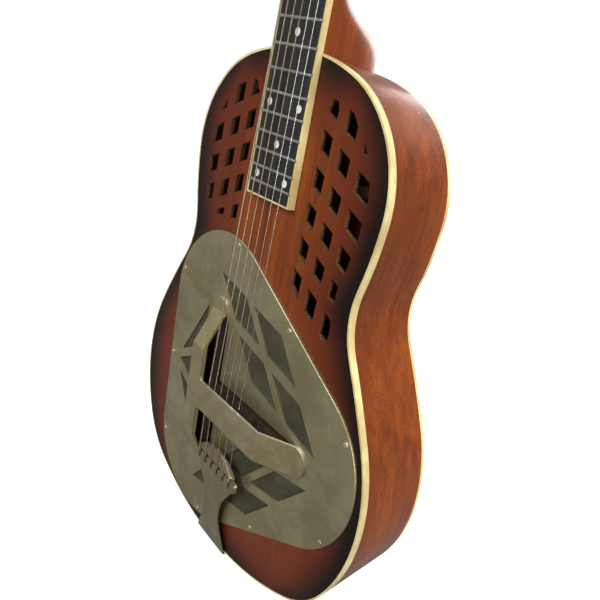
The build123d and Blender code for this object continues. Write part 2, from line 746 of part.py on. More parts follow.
def head_flare():
    """Widening half-round cone that blends the back of the neck into the headstock."""
    u = SCALE / 2 - 20
    rise = 220
    with BuildPart() as flare:
        add(half_ellipse(u, board_half(u) - 1, NECK_END_T - 1))
        add(half_ellipse(u + rise, board_half(u) + 0.8 * rise, NECK_END_T + rise))
        loft(ruled=True)
    return flare.part


def behind_back(inside):
    """Block behind the heel, in front of nothing but a plane parallel to the back."""
    with BuildPart() as block:
        with BuildSketch(back_view(inside)):
            with Locations((0, BODY_LENGTH + 20)):
                Rectangle(100, 120)
        extrude(amount=-40)
    return block.part


def head_shape(inside):
    """Outline of the headstock with its two long slots, drawn below its face."""
    base = board_half(SCALE / 2 + NUT_T)
    with BuildSketch(HEAD.offset(-inside)) as shape:
        with BuildLine():
            foot = Line((0, -14), (base, -14))
            rise = Line(foot @ 1, (base, 1))
            shoulder = Spline(rise @ 1, (HEAD_HALF_W, HEAD_SHOULDER), tangents=((0, 1), (0, 1)))
            edge = Line(shoulder @ 1, (HEAD_HALF_W, HEAD_LENGTH - 12))
            corner = RadiusArc(edge @ 1, (HEAD_HALF_W - 8, HEAD_LENGTH - 4), -8)
            RadiusArc(corner @ 1, (0, HEAD_LENGTH), 90)
            mirror(about=Plane.YZ)
        make_face()
        middle = (TUNER_V[0] + TUNER_V[-1]) / 2 - 3
        with Locations((-HEAD_SLOT_X, middle), (HEAD_SLOT_X, middle)):
            SlotOverall(HEAD_SLOT_L, HEAD_SLOT_W, rotation=90, mode=Mode.SUBTRACT)
    return shape.sketch


def tuner_side(n):
    """+1 for the three treble tuners and -1 for the three bass ones."""
    return 1 if n < 3 else -1


def tuner_place(n):
    """Which roller up the headstock a string winds on: 0 is the one nearest the nut."""
    return n if n < 3 else 5 - n


def roller_plane(n, out=0.0):
    """Plane on a roller's axis at a distance from the centre line; its z runs outwards."""
    side = tuner_side(n)
    origin = HEAD.from_local_coords((side * out, TUNER_V[tuner_place(n)], -ROLLER_DEPTH))
    return Plane(origin=origin, x_dir=HEAD.y_dir, z_dir=(side, 0, 0))


def worm_plane(n):
    """Plane on a worm's axis at the headstock's face; its z runs backwards, its x to the roller."""
    v = TUNER_V[tuner_place(n)] - WORM_OFFSET
    origin = HEAD.from_local_coords((tuner_side(n) * GEAR_X, v, 0))
    return Plane(origin=origin, x_dir=HEAD.y_dir, z_dir=HEAD.z_dir * -1)


def tuner_screw_planes(side, out):
    """Planes on the tuner plate's screws at a distance from the centre line."""
    depth = (TUNER_PLATE_DEPTHS[0] + TUNER_PLATE_DEPTHS[1]) / 2
    planes = []
    for v in TUNER_SCREW_V:
        origin = HEAD.from_local_coords((side * out, v, -depth))
        planes.append(Plane(origin=origin, x_dir=HEAD.y_dir, z_dir=(side, 0, 0)))
    return planes


def bar(plane, radius, length, mode=Mode.ADD):
    """Round bar that starts on a plane and runs along its z."""
    with Locations(plane):
        Cylinder(radius, length, align=(Align.CENTER, Align.CENTER, Align.MIN), mode=mode)


def make_neck():
    solid = neck_solid()
    rod_middle = BOARD.from_local_coords((0, ROD_L / 2 + 4, -BOARD_T))
    rod_place = Plane(origin=rod_middle, x_dir=(1, 0, 0), z_dir=BOARD.z_dir)
    with BuildPart() as head:
        extrude(head_shape(VENEER_T), amount=VENEER_T - HEAD_T)
        add(head_flare(), mode=Mode.INTERSECT)
    with BuildPart() as neck:
        add(solid)
        add(behind_back(HEEL_CAP_T), mode=Mode.SUBTRACT)
        add(head.part)
        with Locations(rod_place):
            Box(ROD_W, ROD_L, 2 * ROD_H, mode=Mode.SUBTRACT)
        for n in range(6):
            bar(roller_plane(n, 5), ROLLER_R + RUN, HEAD_HALF_W, Mode.SUBTRACT)
        for side in (1, -1):
            for plane in tuner_screw_planes(side, HEAD_HALF_W - TUNER_SCREW_L):
                bar(plane, TUNER_SCREW_R, 2 * TUNER_SCREW_L, Mode.SUBTRACT)
    save(neck, "neck")

    with BuildPart() as heel_cap:
        add(solid)
        add(behind_back(0), mode=Mode.SUBTRACT)
        add(behind_back(HEEL_CAP_T), mode=Mode.INTERSECT)
    save(heel_cap, "heel_cap")

    with BuildPart() as veneer:
        extrude(head_shape(0), amount=-VENEER_T)
        with BuildSketch(along_board(0)) as nut_side:
            with BuildLine():
                u = SCALE / 2 + NUT_T
                Polyline((u - 60, -60), (u, -60), (u, 60), (u - 60, 60), close=True)
            make_face()
        extrude(nut_side.sketch, amount=80, both=True, mode=Mode.SUBTRACT)
    save(veneer, "headstock_veneer")

    with BuildPart() as truss_rod:
        with Locations(rod_place.offset(-ROD_H / 2)):
            Box(ROD_W, ROD_L, ROD_H)
        long_edges = truss_rod.edges().filter_by(Axis(rod_middle, BOARD.y_dir))
        fillet(long_edges.sort_by(Axis.Y)[-2:], radius=2.8)
    save(truss_rod, "truss_rod")


# ---------------------------------------------------------------- fingerboard
def board_plan(inset):
    """Plan of the fingerboard from its end over the body to the nut."""
    end = BOARD_END + inset
    nut_half = board_half(SCALE / 2) - inset
    end_half = board_half(end) - inset
    with BuildSketch(BOARD) as plan:
        with BuildLine():
            Polyline((-end_half, end), (end_half, end), (nut_half, SCALE / 2),
                     (-nut_half, SCALE / 2), close=True)
        make_face()
    return plan.sketch


def trim_board_underside():
    """Cut the fingerboard flat against the soundboard and against the top of the neck."""
    with BuildSketch(face()) as over_body:
        with Locations((0, BODY_LENGTH - 100)):
            Rectangle(200, 200)
    extrude(over_body.sketch, amount=-30, mode=Mode.SUBTRACT)
    with BuildSketch(BOARD.offset(-BOARD_T)) as over_neck:
        with Locations((0, 200)):
            Rectangle(200, 400)
    extrude(over_neck.sketch, amount=-30, mode=Mode.SUBTRACT)


def dot_places():
    """Where the position dots sit on the fingerboard."""
    places = []
    for fret, count in DOTS:
        u = (fret_u(fret) + fret_u(fret - 1)) / 2
        places += [(0, u)] if count == 1 else [(-DOT_PAIR_X, u), (DOT_PAIR_X, u)]
    return places


def make_fingerboard():
    with BuildPart() as board:
        extrude(board_plan(BOARD_BINDING), amount=-12)
        trim_board_underside()
        with Locations(BOARD):
            with Locations(*dot_places()):
                Hole(DOT_R, depth=DOT_T)
    save(board, "fingerboard")

    with BuildPart() as binding:
        extrude(board_plan(0), amount=-12)
        extrude(board_plan(BOARD_BINDING), amount=-12, mode=Mode.SUBTRACT)
        trim_board_underside()
    save(binding, "fingerboard_binding")

    with BuildPart() as dots:
        with Locations(BOARD):
            with Locations(*dot_places()):
                Cylinder(DOT_R, DOT_T, align=(Align.CENTER, Align.CENTER, Align.MAX))
    save(dots, "position_dots")

    with BuildPart() as frets:
        for n in range(1, FRETS + 1):
            u = fret_u(n)
            with BuildSketch(along_board(0)) as crown:
                with BuildLine():
                    foot = Line((u - 1.2, 0), (u + 1.2, 0))
                    ThreePointArc(foot @ 1, (u, 1.1), foot @ 0)
                make_face()
            extrude(crown.sketch, amount=board_half(u) - 0.4, both=True)
    save(frets, "frets")

    with BuildPart() as nut:
        with BuildSketch(along_board(0)):
            u = SCALE / 2
            with BuildLine():
                Polyline((u, -BOARD_T), (u + NUT_T, -BOARD_T), (u + NUT_T, 0.6), (u + 3.4, 1.7),
                         (u, 1.9), close=True)
            make_face()
        extrude(amount=board_half(SCALE / 2) - 0.2, both=True)
        for n in range(6):
            start = BOARD.from_local_coords((string_x(n, "nut"), u - 3, NUT_STRING_H + STRING_R[n]))
            groove = Plane(origin=start, x_dir=(1, 0, 0), z_dir=BOARD.y_dir)
            bar(groove, STRING_R[n], NUT_T + 6, Mode.SUBTRACT)
            with Locations(groove):
                Box(2 * STRING_R[n], 5, NUT_T + 6, align=(Align.CENTER, Align.MAX, Align.MIN),
                    mode=Mode.SUBTRACT)
    save(nut, "nut")


# ---------------------------------------------------------------- strings
def string_x(n, place):
    """x of a string at the nut, the saddle or the tail; the thinnest is 0, on the treble side."""
    return STRING_SPREAD[place] * (0.5 - n / 5)


def make_strings():
    tail = tailpiece_plan(0)
    for n in range(6):
        radius = STRING_R[n]
        x = string_x(n, "tail")
        ball = tail.from_local_coords((x, -9.5, 8.9))
        slot = tail.from_local_coords((x, -8.0, 12.4))
        crest = tail.from_local_coords((x, 1.5, 15.5 + radius))
        saddle = Vector(string_x(n, "saddle"), FACE_Y - SADDLE_H, TAIL_Z + PLATE_S)
        nut_x = string_x(n, "nut")
        nut_h = NUT_STRING_H + radius
        nut = BOARD.from_local_coords((nut_x, SCALE / 2, nut_h))
        nut_end = BOARD.from_local_coords((nut_x, SCALE / 2 + NUT_T, nut_h))
        place = tuner_place(n)
        coil_h = ROLLER_R + 3 * radius + 0.35 - ROLLER_DEPTH
        coil = HEAD.from_local_coords((tuner_side(n) * COIL_X[place], TUNER_V[place] - 1.5, coil_h))
        route = (ball, slot, crest, saddle, nut, nut_end, coil)
        with BuildPart() as string:
            for start, end in zip(route, route[1:]):
                bar(Plane(origin=start, z_dir=end - start), radius, (end - start).length)
                with Locations(end):
                    Sphere(1.05 * radius)
            with Locations(Plane(origin=ball, z_dir=tail.x_dir)):
                Cylinder(1.9, 3.0)
        save(string, f"string_{n + 1}")


# ---------------------------------------------------------------- tuning machines
def make_tuner_plate(name, numbers):
    side = tuner_side(numbers[0])
    outer = HEAD_HALF_W + TUNER_PLATE_T
    low, high = TUNER_PLATE_V
    front, back = TUNER_PLATE_DEPTHS
    middle = HEAD.from_local_coords((side * HEAD_HALF_W, (low + high) / 2, -(front + back) / 2))
    with BuildPart() as plate:
        with BuildSketch(Plane(origin=middle, x_dir=HEAD.y_dir, z_dir=(side, 0, 0))):
            RectangleRounded(high - low, back - front, 3)
        extrude(amount=TUNER_PLATE_T)
        for n in numbers:
            for depth in LUG_DEPTHS:
                bar(worm_plane(n).offset(depth), LUG_HALF_W, LUG_T)
                v = TUNER_V[tuner_place(n)] - WORM_OFFSET
                web = HEAD.from_local_coords((side * (outer + GEAR_X) / 2, v, -depth))
                with Locations(Plane(origin=web, x_dir=(1, 0, 0), z_dir=HEAD.z_dir)):
                    Box(GEAR_X - outer, 2 * LUG_HALF_W, LUG_T, align=(Align.CENTER, Align.CENTER, Align.MAX))
            bar(worm_plane(n), WORM_R + RUN, 20, Mode.SUBTRACT)
            bar(roller_plane(n, HEAD_HALF_W - 1), ROLLER_R + RUN, 4, Mode.SUBTRACT)
        for plane in tuner_screw_planes(side, HEAD_HALF_W - 1):
            bar(plane, TUNER_SCREW_R, 4, Mode.SUBTRACT)
    save(plate, name)


def make_tuner_screws():
    with BuildPart() as screws:
        for side in (1, -1):
            for plane in tuner_screw_planes(side, HEAD_HALF_W + TUNER_PLATE_T):
                bar(plane, 2.2, 1.1)
            for plane in tuner_screw_planes(side, HEAD_HALF_W + TUNER_PLATE_T - TUNER_SCREW_L):
                bar(plane, TUNER_SCREW_R, TUNER_SCREW_L)
    save(screws, "tuner_plate_screws")


def make_roller(n):
    """String post with its windings and the gear on its outer end."""
    radius = STRING_R[n]
    pitch_r = GEAR_TEETH * MODULE / 2
    root_r = pitch_r - 1.2 * MODULE
    tip_r = pitch_r + 0.8 * MODULE
    inner = GEAR_X - GEAR_W / 2
    with BuildPart() as roller:
        bar(roller_plane(n, 5.2), ROLLER_R, inner - 5.2)
        for turn in (-1, 0, 1):
            with Locations(roller_plane(n, COIL_X[tuner_place(n)] + turn * 2.1 * radius)):
                Torus(ROLLER_R + radius, radius)
        bar(roller_plane(n, inner), root_r, GEAR_W)
        bar(roller_plane(n, inner + GEAR_W), 2.4, 1.2)
        with BuildSketch(roller_plane(n, inner)):
            with PolarLocations(root_r - 0.3, GEAR_TEETH, start_angle=180 + 180 / GEAR_TEETH):
                Trapezoid(1.1, tip_r - root_r + 0.3, 80, rotation=-90, align=(Align.CENTER, Align.MIN))
        extrude(amount=GEAR_W)
    save(roller, f"tuner_roller_{n + 1}")


def worm_shape():
    """Worm shaft with three turns of thread, its axis along Z, the headstock's face at Z = 0."""
    pitch = pi * MODULE
    low = LUG_DEPTHS[0] - 0.6
    with BuildPart() as worm:
        bar(Plane.XY.offset(low), WORM_R, BUTTON_DEPTHS[1] - 3 - low)
        bar(Plane.XY.offset(LUG_DEPTHS[1] + LUG_T + 0.2), 2.4, 1.4)
        with BuildLine() as path:
            Helix(pitch, 3 * pitch, WORM_PITCH_R, center=(0, 0, ROLLER_DEPTH - 1.5 * pitch))
        thread = path.edges()[0].rotate(Axis.Z, 180)
        start = thread @ 0
        with BuildSketch(Plane(origin=start, x_dir=(start.X, start.Y, 0), z_dir=thread % 0)):
            with BuildLine():
                Polyline((-1.1, -0.5), (0.55, -0.25), (0.55, 0.25), (-1.1, 0.5), close=True)
            make_face()
        sweep(path=thread, is_frenet=True)
    return worm.part


def button_shape():
    """Oval tuner button, bored for the worm shaft."""
    low, high = BUTTON_DEPTHS
    with BuildPart() as button:
        with BuildSketch(Plane.XY.offset(low)):
            Ellipse(6.0, 3.4)
        with BuildSketch(Plane.XY.offset((low + high) / 2)):
            Ellipse(8.5, 4.4)
        with BuildSketch(Plane.XY.offset(high)):
            Ellipse(7.0, 3.4)
        loft()
        fillet(button.edges().sort_by(Axis.Z)[-1], radius=1.2)
        bar(Plane.XY, WORM_R, high - 3, Mode.SUBTRACT)
    return button.part


def make_worms_and_buttons():
    worm_solid = worm_shape()
    button_solid = button_shape()
    for n in range(6):
        with BuildPart() as worm:
            with Locations(worm_plane(n)):
                add(worm_solid)
        save(worm, f"tuner_worm_{n + 1}")
        with BuildPart() as button:
            with Locations(worm_plane(n)):
                add(button_solid)
        save(button, f"tuner_button_{n + 1}")


# ---------------------------------------------------------------- tail fittings
def make_tail_fittings():
    outside = 0.3 + TAILPIECE_T
    middle = (0, FACE_Y + TAIL_BUTTON_DEPTH, TAIL_Z)
    with BuildPart() as button:
        with BuildSketch(Plane(origin=middle, x_dir=(1, 0, 0), z_dir=(0, -1, 0))):
            with BuildLine():
                Polyline((0, 16), (STRAP_SCREW_R, 16), (STRAP_SCREW_R, -outside - 0.2), (7, -outside - 0.2),
                         (7, -outside - 1.5), (4.5, -outside - 3.5), (4.5, 4 - TAIL_Z),
                         (7, 2.5 - TAIL_Z), (7, 0.8 - TAIL_Z), (5.5, -TAIL_Z), (0, -TAIL_Z), close=True)
            make_face()
        revolve(axis=Axis(middle, (0, 0, 1)))
    save(button, "strap_button")

    with BuildPart() as screws:
        for x, depth in tail_screw_places():
            seat = Plane(origin=(x, FACE_Y + depth, TAIL_Z - outside - 0.5), z_dir=(0, 0, -1))
            bar(seat, SCREW_HEAD_R + 0.4, 1.5)
            bar(seat.offset(-14), SCREW_R, 14)
    save(screws, "tailpiece_screws")


make_soundboard()
make_shell()
make_frame()
make_resonator()
make_cover()
make_handrest()
make_tailpiece()
make_neck()
make_fingerboard()
make_strings()
make_tuner_plate("tuner_plate_treble", (0, 1, 2))
make_tuner_plate("tuner_plate_bass", (3, 4, 5))
make_tuner_screws()
for number in range(6):
    make_roller(number)
make_worms_and_buttons()
make_tail_fittings()
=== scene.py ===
"""Looks for the resonator guitar: aged nickel, sunburst mahogany, cream bindings and a studio.

The frame's axes are kept: +Z from the tail to the headstock, -Y out of the face, +X to the treble
side. All sizes are metres.
"""
import json
import math

import bpy
from mathutils import Matrix, Vector


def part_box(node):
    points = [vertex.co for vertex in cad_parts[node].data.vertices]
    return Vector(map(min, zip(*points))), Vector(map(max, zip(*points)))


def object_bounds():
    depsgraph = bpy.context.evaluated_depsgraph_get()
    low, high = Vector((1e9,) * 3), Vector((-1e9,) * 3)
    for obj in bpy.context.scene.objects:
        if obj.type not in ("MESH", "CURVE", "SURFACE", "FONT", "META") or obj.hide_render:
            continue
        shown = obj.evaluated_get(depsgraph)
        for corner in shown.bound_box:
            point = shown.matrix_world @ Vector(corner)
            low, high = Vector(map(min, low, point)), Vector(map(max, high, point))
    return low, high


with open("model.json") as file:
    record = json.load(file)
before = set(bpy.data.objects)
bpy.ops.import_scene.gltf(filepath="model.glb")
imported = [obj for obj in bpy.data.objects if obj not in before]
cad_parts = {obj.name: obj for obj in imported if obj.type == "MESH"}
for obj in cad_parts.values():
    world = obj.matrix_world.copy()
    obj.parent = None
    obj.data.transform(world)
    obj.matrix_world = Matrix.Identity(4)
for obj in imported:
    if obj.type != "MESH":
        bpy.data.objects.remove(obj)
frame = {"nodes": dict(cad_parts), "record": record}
CAD_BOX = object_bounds()
NODES = frame["nodes"]

# ---- camera: place in metres, angles in degrees, lens in millimetres ----
CAMERA_PLACE = (0.35733, -0.30757, 0.47561)
CAMERA_AZIMUTH = 36.21969
CAMERA_ELEVATION = 20.07944
CAMERA_ROLL = 15.69290
CAMERA_LENS = 30.658
CAMERA_SHIFT = (-0.15215, 0.03785)

# ---- colours, linear ----
TOP_MIDDLE = (0.290, 0.068, 0.009)
TOP_RED = (0.120, 0.019, 0.005)
TOP_EDGE = (0.006, 0.002, 0.001)
SIDE_LIGHT = (0.270, 0.058, 0.005)
SIDE_DARK = (0.135, 0.026, 0.004)
PORE = (0.030, 0.009, 0.004)
INNER_WOOD = (0.110, 0.050, 0.022)
CUT_WOOD = (0.240, 0.130, 0.062)
CREAM = (0.820, 0.730, 0.350)
CREAM_OLD = (0.560, 0.430, 0.180)
NICKEL = (0.440, 0.392, 0.232)
NICKEL_DULL = (0.300, 0.256, 0.138)
NICKEL_BRIGHT = (0.680, 0.650, 0.500)
BOARD_DARK = (0.010, 0.010, 0.010)
BOARD_LIGHT = (0.030, 0.029, 0.027)

# ---- sizes and strengths ----
BURST_WIDTH = 0.062           # how far the dark edge reaches into the top
BURST_WANDER = 0.018          # how far that edge wanders in and out
SCREEN_PITCH = 0.00115        # distance between the screen's wires
WINDING_PITCH = 0.00042       # distance between the turns on a wound string
FLOOR_SIZE = 60
FLOOR_GAP = 0.0005            # the floor lies this far below the object
FLOOR_GLOW = 0.75             # keeps the floor pale away from the lamps
ROOM_LIGHT = 0.30             # strength of the even light round the object
BACKDROP_LIGHT = 1.0          # strength that the camera sees behind it

MIX_A, MIX_B, MIX_RESULT = 6, 7, 2    # the colour sockets of a Mix node


# ---------------------------------------------------------------- node graphs
class Graph:
    """A material's nodes, with one short call for each kind used here."""

    def __init__(self, name):
        self.material = bpy.data.materials.new(name)
        self.material.use_nodes = True
        self.tree = self.material.node_tree
        self.shader = self.tree.nodes["Principled BSDF"]
        self.object = self.node("ShaderNodeTexCoord").outputs["Object"]

    def node(self, kind, **settings):
        made = self.tree.nodes.new(kind)
        for key, value in settings.items():
            setattr(made, key, value)
        return made

    def join(self, value, socket):
        if isinstance(value, bpy.types.NodeSocket):
            self.tree.links.new(value, socket)
        else:
            socket.default_value = value

    def scaled(self, scale):
        made = self.node("ShaderNodeMapping")
        self.join(self.object, made.inputs["Vector"])
        made.inputs["Scale"].default_value = scale
        return made.outputs["Vector"]

    def noise(self, scale, size=1.0, detail=4.0, rough=0.5, warp=0.0):
        made = self.node("ShaderNodeTexNoise")
        self.join(self.scaled(scale), made.inputs["Vector"])
        made.inputs["Scale"].default_value = size
        made.inputs["Detail"].default_value = detail
        made.inputs["Roughness"].default_value = rough
        made.inputs["Distortion"].default_value = warp
        return made.outputs["Fac"]

    def math(self, operation, a, b=0.0, clamp=False):
        made = self.node("ShaderNodeMath", operation=operation, use_clamp=clamp)
        self.join(a, made.inputs[0])
        self.join(b, made.inputs[1])
        return made.outputs[0]

    def step(self, value, low, high, out_low=0.0, out_high=1.0):
        """Smooth step of a value between two limits."""
        made = self.node("ShaderNodeMapRange", interpolation_type="SMOOTHSTEP")
        self.join(value, made.inputs["Value"])
        made.inputs["From Min"].default_value = low
        made.inputs["From Max"].default_value = high
        made.inputs["To Min"].default_value = out_low
        made.inputs["To Max"].default_value = out_high
        return made.outputs["Result"]

    def mix(self, share, a, b):
        made = self.node("ShaderNodeMix", data_type="RGBA")
        self.join(share, made.inputs["Factor"])
        for colour, socket in ((a, MIX_A), (b, MIX_B)):
            plain = not isinstance(colour, bpy.types.NodeSocket)
            self.join((*colour, 1) if plain else colour, made.inputs[socket])
        return made.outputs[MIX_RESULT]

    def axes(self, normal=False):
        made = self.node("ShaderNodeSeparateXYZ")
        source = self.node("ShaderNodeTexCoord").outputs["Normal"] if normal else self.object
        self.join(source, made.inputs[0])
        return made.outputs

    def bump(self, height, strength, distance=0.0004):
        made = self.node("ShaderNodeBump")
        made.inputs["Strength"].default_value = strength
        made.inputs["Distance"].default_value = distance
        self.join(height, made.inputs["Height"])
        self.join(made.outputs["Normal"], self.shader.inputs["Normal"])

    def finish(self, colour, rough, metallic=0.0, coat=0.0, coat_rough=0.1, specular=0.5):
        self.join(colour, self.shader.inputs["Base Color"])
        self.join(rough, self.shader.inputs["Roughness"])
        self.shader.inputs["Metallic"].default_value = metallic
        self.shader.inputs["Coat Weight"].default_value = coat
        self.shader.inputs["Coat Roughness"].default_value = coat_rough
        self.shader.inputs["Specular IOR Level"].default_value = specular
        return self.material


# ---------------------------------------------------------------- wood
def mahogany(graph, light, dark, along):
    """Colour and pore mask of mahogany whose grain runs along one axis (0, 1 or 2)."""
    fine = [900.0, 900.0, 900.0]
    fine[along] = 28.0
    broad = [46.0, 46.0, 46.0]
    broad[along] = 2.2
    ribbon = [120.0, 120.0, 120.0]
    ribbon[along] = 5.0
    figure = graph.noise(broad, detail=3.0, warp=0.5)
    stripe = graph.noise(ribbon, detail=5.0, rough=0.6)
    pores = graph.step(graph.noise(fine, detail=2.0, rough=0.4), 0.56, 0.70)
    figure = graph.math("MULTIPLY", figure, 0.6)
    tone = graph.math("ADD", figure, graph.math("MULTIPLY", stripe, 0.5))
    colour = graph.mix(graph.step(tone, 0.36, 0.74), dark, light)
    return graph.mix(graph.math("MULTIPLY", pores, 0.55), colour, PORE), pores


def half_width_curve(node_name, steps=26):
    """Half width of a node at even heights, as shares of its height and of the body's half width."""
    low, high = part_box(node_name)
    half = high.x
    widest = [0.0] * (steps + 1)
    edges = NODES[node_name].data
    for edge in edges.edges:
        a, b = (edges.vertices[i].co for i in edge.vertices)
        count = max(1, int(abs(a.z - b.z) / (high.z - low.z) * steps * 4) + 1)
        for k in range(count + 1):
            p = a.lerp(b, k / count)
            slot = round((p.z - low.z) / (high.z - low.z) * steps)
            widest[slot] = max(widest[slot], abs(p.x))
    widest[0] = widest[steps] = 0.0
    return low.z, high.z, half, [w / half for w in widest]


def edge_distance(graph):
    """Distance in metres from the body's outline, worked out from its half width at each height."""
    low, high, half, widths = half_width_curve("front_binding")
    x, y, z = graph.axes()
    share = graph.math("DIVIDE", graph.math("SUBTRACT", z, low), high - low)
    curve = graph.node("ShaderNodeFloatCurve")
    points = curve.mapping.curves[0].points
    steps = len(widths) - 1
    points[0].location = (0, widths[0])
    points[1].location = (1, widths[-1])
    for k in range(1, steps):
        points.new(k / steps, widths[k])
    curve.mapping.update()
    graph.join(share, curve.inputs["Value"])
    half_here = graph.math("MULTIPLY", curve.outputs[0], half)
    side = graph.math("SUBTRACT", half_here, graph.math("ABSOLUTE", x))
    side = graph.math("MULTIPLY", side, 0.92)
    below = graph.math("SUBTRACT", z, low)
    above = graph.math("SUBTRACT", high, z)
    return graph.math("MINIMUM", side, graph.math("MINIMUM", below, above))


def top_wood():
    graph = Graph("sunburst_top")
    colour, pores = mahogany(graph, TOP_MIDDLE, TOP_RED, 2)
    distance = edge_distance(graph)
    wander = graph.math("SUBTRACT", graph.noise((14, 14, 14), detail=2.0), 0.5)
    distance = graph.math("ADD", distance, graph.math("MULTIPLY", wander, BURST_WANDER))
    red = graph.step(distance, 0.02, 1.7 * BURST_WIDTH)
    black = graph.step(distance, 0.004, 0.62 * BURST_WIDTH)
    warm = graph.mix(red, TOP_RED, colour)
    burst = graph.mix(black, TOP_EDGE, warm)
    facing = graph.math("ABSOLUTE", graph.axes(normal=True)[1])
    cut = graph.mix(graph.step(graph.noise((300, 300, 900)), 0.3, 0.7), CUT_WOOD, INNER_WOOD)
    burst = graph.mix(graph.step(facing, 0.4, 0.6), cut, burst)
    smudge = graph.noise((22, 22, 22), detail=5.0, rough=0.65)
    rough = graph.step(smudge, 0.3, 0.75, 0.34, 0.48)
    graph.bump(graph.math("SUBTRACT", 1.0, pores), 0.18)
    return graph.finish(burst, rough, coat=0.04, coat_rough=0.24, specular=0.2)


def side_wood():
    graph = Graph("mahogany_sides")
    colour, pores = mahogany(graph, SIDE_LIGHT, SIDE_DARK, 2)
    y = graph.axes()[1]
    front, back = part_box("body_sides")[0].y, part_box("body_sides")[1].y
    near_front = graph.step(y, front, front + 0.022)
    near_back = graph.step(y, back - 0.012, back, 1.0, 0.35)
    shade = graph.math("MULTIPLY", near_front, near_back)
    colour = graph.mix(graph.step(shade, 0.0, 1.0, 0.45, 1.0), SIDE_DARK, colour)
    smudge = graph.noise((18, 18, 18), detail=5.0, rough=0.65)
    rough = graph.step(smudge, 0.3, 0.75, 0.26, 0.38)
    graph.bump(graph.math("SUBTRACT", 1.0, pores), 0.16)
    return graph.finish(colour, rough, coat=0.16, coat_rough=0.2, specular=0.3)


def inner_wood():
    graph = Graph("bare_wood")
    colour, pores = mahogany(graph, CUT_WOOD, INNER_WOOD, 2)
    graph.bump(graph.math("SUBTRACT", 1.0, pores), 0.25)
    return graph.finish(colour, 0.75)


def bridge_wood():
    graph = Graph("dark_bridge_wood")
    colour, pores = mahogany(graph, (0.060, 0.034, 0.020), (0.022, 0.013, 0.009), 2)
    graph.bump(graph.math("SUBTRACT", 1.0, pores), 0.3)
    return graph.finish(colour, 0.6)


def board_wood():
    graph = Graph("fingerboard_wood")
    streak = graph.noise((260, 260, 9), detail=5.0, rough=0.6)
    dash = graph.step(graph.noise((1100, 1100, 45), detail=2.0), 0.56, 0.68)
    colour = graph.mix(graph.step(streak, 0.35, 0.7), BOARD_DARK, BOARD_LIGHT)
    colour = graph.mix(graph.math("MULTIPLY", dash, 0.6), colour, (0.012, 0.011, 0.010))
    rough = graph.step(graph.noise((30, 30, 30)), 0.3, 0.7, 0.38, 0.52)
    graph.bump(graph.math("SUBTRACT", 1.0, dash), 0.2)
    return graph.finish(colour, rough, specular=0.3)


def veneer():
    graph = Graph("black_veneer")
    streak = graph.noise((240, 240, 8), detail=4.0)
    colour = graph.mix(graph.step(streak, 0.3, 0.7), (0.010, 0.009, 0.009), (0.026, 0.023, 0.021))
    rough = graph.step(graph.noise((30, 30, 30), detail=5.0), 0.3, 0.75, 0.18, 0.30)
    graph.bump(streak, 0.04)
    return graph.finish(colour, rough, coat=0.5, coat_rough=0.1)


# ---------------------------------------------------------------- plastics
def cream_binding():
    graph = Graph("aged_cream_binding")
    blotch = graph.noise((40, 40, 26), detail=5.0, rough=0.6)
    speck = graph.step(graph.noise((520, 520, 520), detail=2.0), 0.68, 0.76)
    colour = graph.mix(graph.step(blotch, 0.35, 0.72), CREAM_OLD, CREAM)
    colour = graph.mix(graph.math("MULTIPLY", speck, 0.5), colour, (0.30, 0.20, 0.09))
    rough = graph.step(blotch, 0.3, 0.7, 0.26, 0.40)
    graph.bump(graph.noise((160, 160, 160)), 0.06)
    return graph.finish(colour, rough, coat=0.3, coat_rough=0.15)


def smooth_plastic(name, light, dark, rough):
    graph = Graph(name)
    swirl = graph.noise((120, 120, 120), detail=3.0, warp=2.5)
    colour = graph.mix(graph.step(swirl, 0.32, 0.7), dark, light)
    graph.bump(graph.noise((700, 700, 700)), 0.04)
    return graph.finish(colour, graph.step(swirl, 0.3, 0.7, rough, rough + 0.12), coat=0.4)


# ---------------------------------------------------------------- metals
def aged_nickel(name, tint=(1, 1, 1), wear=0.0, painted_top_highlight=False):
    """Satin nickel with dull patches, pits and wipe marks, and on request a painted highlight on faces that
    point up.
    """
    graph = Graph(name)
    bases = (NICKEL, NICKEL_DULL, NICKEL_BRIGHT)
    plain, dull, bright = [tuple(c * t for c, t in zip(base, tint)) for base in bases]
    cloud = graph.noise((17, 17, 17), detail=8.0, rough=0.66, warp=0.6)
    patch = graph.noise((46, 46, 46), detail=6.0, rough=0.7)
    grain = graph.noise((900, 900, 70), detail=3.0, rough=0.6)
    pits = graph.step(graph.noise((620, 620, 620), detail=2.0), 0.70, 0.77)
    colour = graph.mix(graph.step(cloud, 0.36, 0.68), dull, plain)
    colour = graph.mix(graph.step(patch, 0.50, 0.80, 0.0, 0.30 + wear), colour, bright)
    colour = graph.mix(graph.step(grain, 0.35, 0.75, 0.0, 0.22), colour, dull)
    colour = graph.mix(graph.math("MULTIPLY", pits, 0.75), colour, (0.055, 0.042, 0.022))
    # painted highlight: faces that point up are lightened towards near white, as if lit from above
    if painted_top_highlight:
        upward_highlight_mask = graph.step(graph.axes(normal=True)[2], 0.55, 0.80, 0.0, 0.85)
        colour = graph.mix(upward_highlight_mask, colour, (0.90, 0.88, 0.80))
    worn = graph.math("MULTIPLY", graph.math("ADD", cloud, patch), 0.5)
    rough = graph.step(worn, 0.3, 0.7, 0.46, 0.34 - 0.1 * wear)
    height = graph.math("SUBTRACT", graph.math("MULTIPLY", grain, 0.35), pits)
    graph.bump(height, 0.16, 0.0003)
    return graph.finish(colour, rough, metallic=0.80, specular=0.5)


